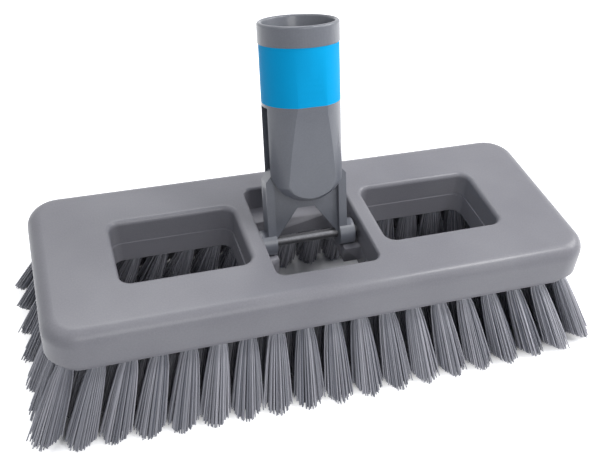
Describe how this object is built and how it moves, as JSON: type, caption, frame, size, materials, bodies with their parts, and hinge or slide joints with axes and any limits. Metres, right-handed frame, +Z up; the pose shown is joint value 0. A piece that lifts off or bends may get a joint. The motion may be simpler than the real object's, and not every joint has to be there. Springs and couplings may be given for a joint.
{
  "type": "scrub brush",
  "caption": "Scrub brush block with splayed bristle tufts, open windows and a tilting, sideways-swinging socket for a pole.",
  "frame": {"origin": "centre of the plane through the bristle tips, below the middle of the block", "axes": "+X along the block, +Y to the side that the socket leans to at rest, +Z up"},
  "size_m": [0.2398, 0.1104, 0.1312],
  "materials": {
    "cover": "fine satin, light grey",
    "plate": "satin, grey",
    "bristle": "satin nylon filament, grey",
    "joint": "satin, grey",
    "band": "smooth, clear blue",
    "steel": "plated steel"
  },
  "bodies": {
    "block": {"top_cover": "cover", "bristle_plate": "plate", "cover_screws": "steel", "hinge_axle": "steel", "front_outer_tufts": "bristle", "front_inner_tufts": "bristle", "back_inner_tufts": "bristle", "back_outer_tufts": "bristle", "left_end_tufts": "bristle", "right_end_tufts": "bristle", "front_outer_anchors": "steel", "front_inner_anchors": "steel", "back_inner_anchors": "steel", "back_outer_anchors": "steel", "left_end_anchors": "steel", "right_end_anchors": "steel"},
    "yoke": {"yoke": "joint"},
    "socket": {"swing_pin": "steel", "socket_tube": "joint", "colour_band": "band"}
  },
  "joints": [
    {"name": "yoke_tilt", "type": "hinge", "parent": "block", "child": "yoke", "pos_m": [0, 0, 0.0425], "axis": [1, 0, 0], "range_deg": [-29.5, 66.5]},
    {"name": "socket_swing", "type": "hinge", "parent": "yoke", "child": "socket", "pos_m": [-0.0008, 0.01079, 0.07474], "axis": [0, 0.9483, -0.3173], "range_deg": [-42, 42]}
  ]
}
